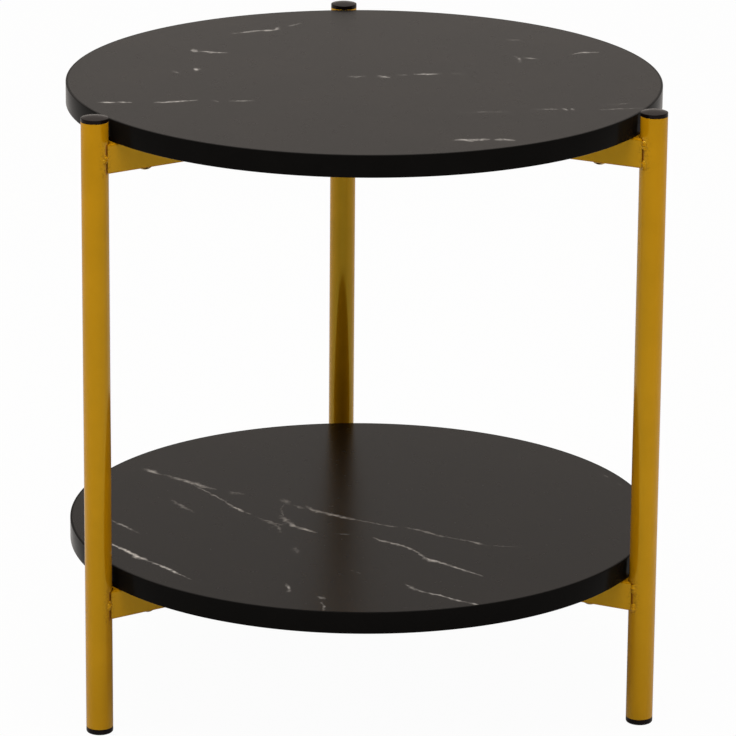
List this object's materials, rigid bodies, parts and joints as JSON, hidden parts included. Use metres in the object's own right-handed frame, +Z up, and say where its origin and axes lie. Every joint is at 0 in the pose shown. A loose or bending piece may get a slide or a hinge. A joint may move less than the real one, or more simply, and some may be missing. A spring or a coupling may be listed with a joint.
{
  "type": "side table",
  "caption": "Round occasional table with a black marble-look top and matching lower shelf, carried on arms welded to slim gold tubular legs with black caps and feet.",
  "frame": {"origin": "middle of the table's bounding box, on the floor under the feet; the axis of the round boards stands 10.4 mm in front of it, because the rear leg reaches past the boards", "axes": "+Z up, +Y towards the single rear leg, +X to the right of someone who faces the table from the side with two legs"},
  "size_m": [0.4199, 0.4408, 0.4486],
  "materials": {
    "marble_laminate": "satin",
    "backing_laminate": "matte",
    "edge_band": "satin",
    "board_core": "matte",
    "gold_paint": "satin",
    "black_plastic": "satin",
    "gilt_bolt": "satin",
    "zinc_insert": "satin"
  },
  "bodies": {
    "root": {"top_marble_laminate": "marble_laminate", "shelf_marble_laminate": "marble_laminate", "top_backing_laminate": "backing_laminate", "shelf_backing_laminate": "backing_laminate", "top_edge_band": "edge_band", "shelf_edge_band": "edge_band", "top_board_core": "board_core", "shelf_board_core": "board_core", "left_leg_tube": "gold_paint", "left_upper_arm": "gold_paint", "left_lower_arm": "gold_paint", "left_upper_arm_welds": "gold_paint", "left_lower_arm_welds": "gold_paint", "right_leg_tube": "gold_paint", "right_upper_arm": "gold_paint", "right_lower_arm": "gold_paint", "right_upper_arm_welds": "gold_paint", "right_lower_arm_welds": "gold_paint", "rear_leg_tube": "gold_paint", "rear_upper_arm": "gold_paint", "rear_lower_arm": "gold_paint", "rear_upper_arm_welds": "gold_paint", "rear_lower_arm_welds": "gold_paint", "left_leg_cap": "black_plastic", "left_foot": "black_plastic", "left_upper_arm_plug": "black_plastic", "left_lower_arm_plug": "black_plastic", "right_leg_cap": "black_plastic", "right_foot": "black_plastic", "right_upper_arm_plug": "black_plastic", "right_lower_arm_plug": "black_plastic", "rear_leg_cap": "black_plastic", "rear_foot": "black_plastic", "rear_upper_arm_plug": "black_plastic", "rear_lower_arm_plug": "black_plastic", "top_board_bolts": "gilt_bolt", "shelf_board_bolts": "gilt_bolt", "top_board_insert_nuts": "zinc_insert", "shelf_board_insert_nuts": "zinc_insert"}
  },
  "joints": []
}
